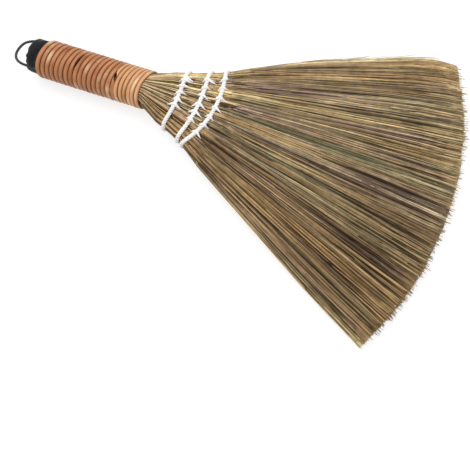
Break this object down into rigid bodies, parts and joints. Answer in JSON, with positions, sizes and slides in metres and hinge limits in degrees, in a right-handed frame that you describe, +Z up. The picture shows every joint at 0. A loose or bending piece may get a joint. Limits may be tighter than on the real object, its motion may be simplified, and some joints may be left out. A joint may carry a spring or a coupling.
{
  "type": "hand broom",
  "caption": "Short hand broom: a flat fan of soft grass stitched with white cord, a cane-wrapped round handle, a cloth end cap and a hanging loop.",
  "frame": {"origin": "centre of the base of the broom as it lies flat, on the surface that it lies on, with the hanging loop left out", "axes": "+X along the fan's axis towards the fibres' tips, +Y across the fan, +Z up from the surface; the handle leans about five degrees from the fan's axis"},
  "size_m": [0.3773, 0.2356, 0.0324],
  "materials": {
    "cane_rear": "dull split cane",
    "cane_front": "smooth split cane",
    "grass_stalks": "dry grass stalks",
    "grass_fibres": "dry fine grass",
    "stitch_cord": "white twisted cord",
    "inner_cord": "plain flat binding",
    "cap_cloth": "black cloth",
    "loop_cord": "black braided cord"
  },
  "bodies": {
    "handle": {"wrap_strip_rear": "cane_rear", "wrap_strip_front": "cane_front", "tie_rear": "inner_cord", "tie_front": "inner_cord", "end_cap": "cap_cloth", "loop_end_upper": "loop_cord", "loop_end_lower": "loop_cord", "row_1_band": "stitch_cord", "row_2_band": "stitch_cord", "row_3_band": "stitch_cord", "row_1_hitches": "stitch_cord", "row_2_hitches": "stitch_cord", "row_3_hitches": "stitch_cord", "stalks_1": "grass_stalks", "stalks_2": "grass_stalks", "stalks_3": "grass_stalks", "stalks_4": "grass_stalks", "stalks_5": "grass_stalks", "stalks_6": "grass_stalks", "stalks_7": "grass_stalks", "stalks_8": "grass_stalks"},
    "hang_loop": {"hang_loop": "loop_cord"},
    "tuft_1": {"brush_1": "grass_fibres"},
    "tuft_2": {"brush_2": "grass_fibres"},
    "tuft_3": {"brush_3": "grass_fibres"},
    "tuft_4": {"brush_4": "grass_fibres"},
    "tuft_5": {"brush_5": "grass_fibres"},
    "tuft_6": {"brush_6": "grass_fibres"},
    "tuft_7": {"brush_7": "grass_fibres"},
    "tuft_8": {"brush_8": "grass_fibres"}
  },
  "joints": [
    {"name": "loop_swing", "type": "hinge", "parent": "handle", "child": "hang_loop", "pos_m": [-0.18233, -0.00529, 0.01767], "axis": [-0.0733, 0.9106, -0.4067], "range_deg": [-60, 60]},
    {"name": "tuft_1_flex", "type": "hinge", "parent": "handle", "child": "tuft_1", "pos_m": [-0.00885, 0.04277, 0.0162], "axis": [0.3697, -0.9291, 0], "range_deg": [-20, 20], "stiffness_Nm_per_rad": 0.4},
    {"name": "tuft_2_flex", "type": "hinge", "parent": "handle", "child": "tuft_2", "pos_m": [-0.00521, 0.03196, 0.0162], "axis": [0.2672, -0.9636, 0], "range_deg": [-20, 20], "stiffness_Nm_per_rad": 0.4},
    {"name": "tuft_3_flex", "type": "hinge", "parent": "handle", "child": "tuft_3", "pos_m": [-0.00277, 0.02082, 0.0162], "axis": [0.1616, -0.9869, 0], "range_deg": [-20, 20], "stiffness_Nm_per_rad": 0.4},
    {"name": "tuft_4_flex", "type": "hinge", "parent": "handle", "child": "tuft_4", "pos_m": [-0.00153, 0.00949, 0.0162], "axis": [0.0541, -0.9985, 0], "range_deg": [-20, 20], "stiffness_Nm_per_rad": 0.4},
    {"name": "tuft_5_flex", "type": "hinge", "parent": "handle", "child": "tuft_5", "pos_m": [-0.00153, -0.00191, 0.0162], "axis": [-0.0541, -0.9985, 0], "range_deg": [-20, 20], "stiffness_Nm_per_rad": 0.4},
    {"name": "tuft_6_flex", "type": "hinge", "parent": "handle", "child": "tuft_6", "pos_m": [-0.00277, -0.01325, 0.0162], "axis": [-0.1616, -0.9869, 0], "range_deg": [-20, 20], "stiffness_Nm_per_rad": 0.4},
    {"name": "tuft_7_flex", "type": "hinge", "parent": "handle", "child": "tuft_7", "pos_m": [-0.00521, -0.02438, 0.0162], "axis": [-0.2672, -0.9636, 0], "range_deg": [-20, 20], "stiffness_Nm_per_rad": 0.4},
    {"name": "tuft_8_flex", "type": "hinge", "parent": "handle", "child": "tuft_8", "pos_m": [-0.00885, -0.03519, 0.0162], "axis": [-0.3697, -0.9291, 0], "range_deg": [-20, 20], "stiffness_Nm_per_rad": 0.4}
  ]
}
